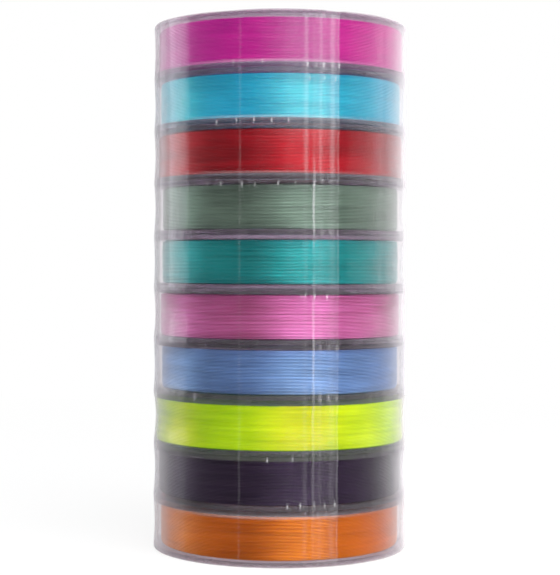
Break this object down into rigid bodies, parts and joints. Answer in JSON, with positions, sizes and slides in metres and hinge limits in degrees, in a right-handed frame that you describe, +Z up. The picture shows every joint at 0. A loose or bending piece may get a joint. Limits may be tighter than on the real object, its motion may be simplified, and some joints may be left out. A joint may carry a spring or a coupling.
{
  "type": "fishing line spool stack",
  "caption": "Round stack of clear nesting spools, each full of monofilament in another colour, in a clear shrink wrap with an open hub bore.",
  "frame": {"origin": "centre of the ring of film that the stack stands on, on the surface it stands on", "axes": "+Z up along the spools' common axis, towards the nesting ring of the top spool; +X and +Y are alike, and the picture looks along +Y"},
  "size_m": [0.0686, 0.0686, 0.1421],
  "materials": {
    "clear_plastic": "clear moulded polystyrene",
    "shrink_film": "clear shrink film",
    "line_orange": "smooth nylon monofilament",
    "line_black": "smooth nylon monofilament",
    "line_yellow": "smooth nylon monofilament",
    "line_periwinkle": "smooth nylon monofilament",
    "line_pink": "smooth nylon monofilament",
    "line_teal": "smooth nylon monofilament",
    "line_grey_green": "smooth nylon monofilament",
    "line_red": "smooth nylon monofilament",
    "line_cyan": "smooth nylon monofilament",
    "line_magenta": "smooth nylon monofilament"
  },
  "bodies": {
    "wrap": {"shrink_film": "shrink_film"},
    "spool_01": {"spool_01_lower_half": "clear_plastic", "spool_01_upper_half": "clear_plastic", "line_01_inner_layers": "line_orange", "line_01_outer_turns": "line_orange"},
    "spool_02": {"spool_02_lower_half": "clear_plastic", "spool_02_upper_half": "clear_plastic", "line_02_inner_layers": "line_black", "line_02_outer_turns": "line_black"},
    "spool_03": {"spool_03_lower_half": "clear_plastic", "spool_03_upper_half": "clear_plastic", "line_03_inner_layers": "line_yellow", "line_03_outer_turns": "line_yellow"},
    "spool_04": {"spool_04_lower_half": "clear_plastic", "spool_04_upper_half": "clear_plastic", "line_04_inner_layers": "line_periwinkle", "line_04_outer_turns": "line_periwinkle"},
    "spool_05": {"spool_05_lower_half": "clear_plastic", "spool_05_upper_half": "clear_plastic", "line_05_inner_layers": "line_pink", "line_05_outer_turns": "line_pink"},
    "spool_06": {"spool_06_lower_half": "clear_plastic", "spool_06_upper_half": "clear_plastic", "line_06_inner_layers": "line_teal", "line_06_outer_turns": "line_teal"},
    "spool_07": {"spool_07_lower_half": "clear_plastic", "spool_07_upper_half": "clear_plastic", "line_07_inner_layers": "line_grey_green", "line_07_outer_turns": "line_grey_green"},
    "spool_08": {"spool_08_lower_half": "clear_plastic", "spool_08_upper_half": "clear_plastic", "line_08_inner_layers": "line_red", "line_08_outer_turns": "line_red"},
    "spool_09": {"spool_09_lower_half": "clear_plastic", "spool_09_upper_half": "clear_plastic", "line_09_inner_layers": "line_cyan", "line_09_outer_turns": "line_cyan"},
    "spool_10": {"spool_10_lower_half": "clear_plastic", "spool_10_upper_half": "clear_plastic", "line_10_inner_layers": "line_magenta", "line_10_outer_turns": "line_magenta"}
  },
  "joints": [
    {"name": "spool_01_spin", "type": "hinge", "parent": "wrap", "child": "spool_01", "pos_m": [0, 0, 0.00715], "axis": [0, 0, 1], "continuous": true},
    {"name": "spool_02_spin", "type": "hinge", "parent": "wrap", "child": "spool_02", "pos_m": [0, 0, 0.02115], "axis": [0, 0, 1], "continuous": true},
    {"name": "spool_03_spin", "type": "hinge", "parent": "wrap", "child": "spool_03", "pos_m": [0, 0, 0.03515], "axis": [0, 0, 1], "continuous": true},
    {"name": "spool_04_spin", "type": "hinge", "parent": "wrap", "child": "spool_04", "pos_m": [0, 0, 0.04915], "axis": [0, 0, 1], "continuous": true},
    {"name": "spool_05_spin", "type": "hinge", "parent": "wrap", "child": "spool_05", "pos_m": [0, 0, 0.06315], "axis": [0, 0, 1], "continuous": true},
    {"name": "spool_06_spin", "type": "hinge", "parent": "wrap", "child": "spool_06", "pos_m": [0, 0, 0.07715], "axis": [0, 0, 1], "continuous": true},
    {"name": "spool_07_spin", "type": "hinge", "parent": "wrap", "child": "spool_07", "pos_m": [0, 0, 0.09115], "axis": [0, 0, 1], "continuous": true},
    {"name": "spool_08_spin", "type": "hinge", "parent": "wrap", "child": "spool_08", "pos_m": [0, 0, 0.10515], "axis": [0, 0, 1], "continuous": true},
    {"name": "spool_09_spin", "type": "hinge", "parent": "wrap", "child": "spool_09", "pos_m": [0, 0, 0.11915], "axis": [0, 0, 1], "continuous": true},
    {"name": "spool_10_spin", "type": "hinge", "parent": "wrap", "child": "spool_10", "pos_m": [0, 0, 0.13315], "axis": [0, 0, 1], "continuous": true}
  ]
}
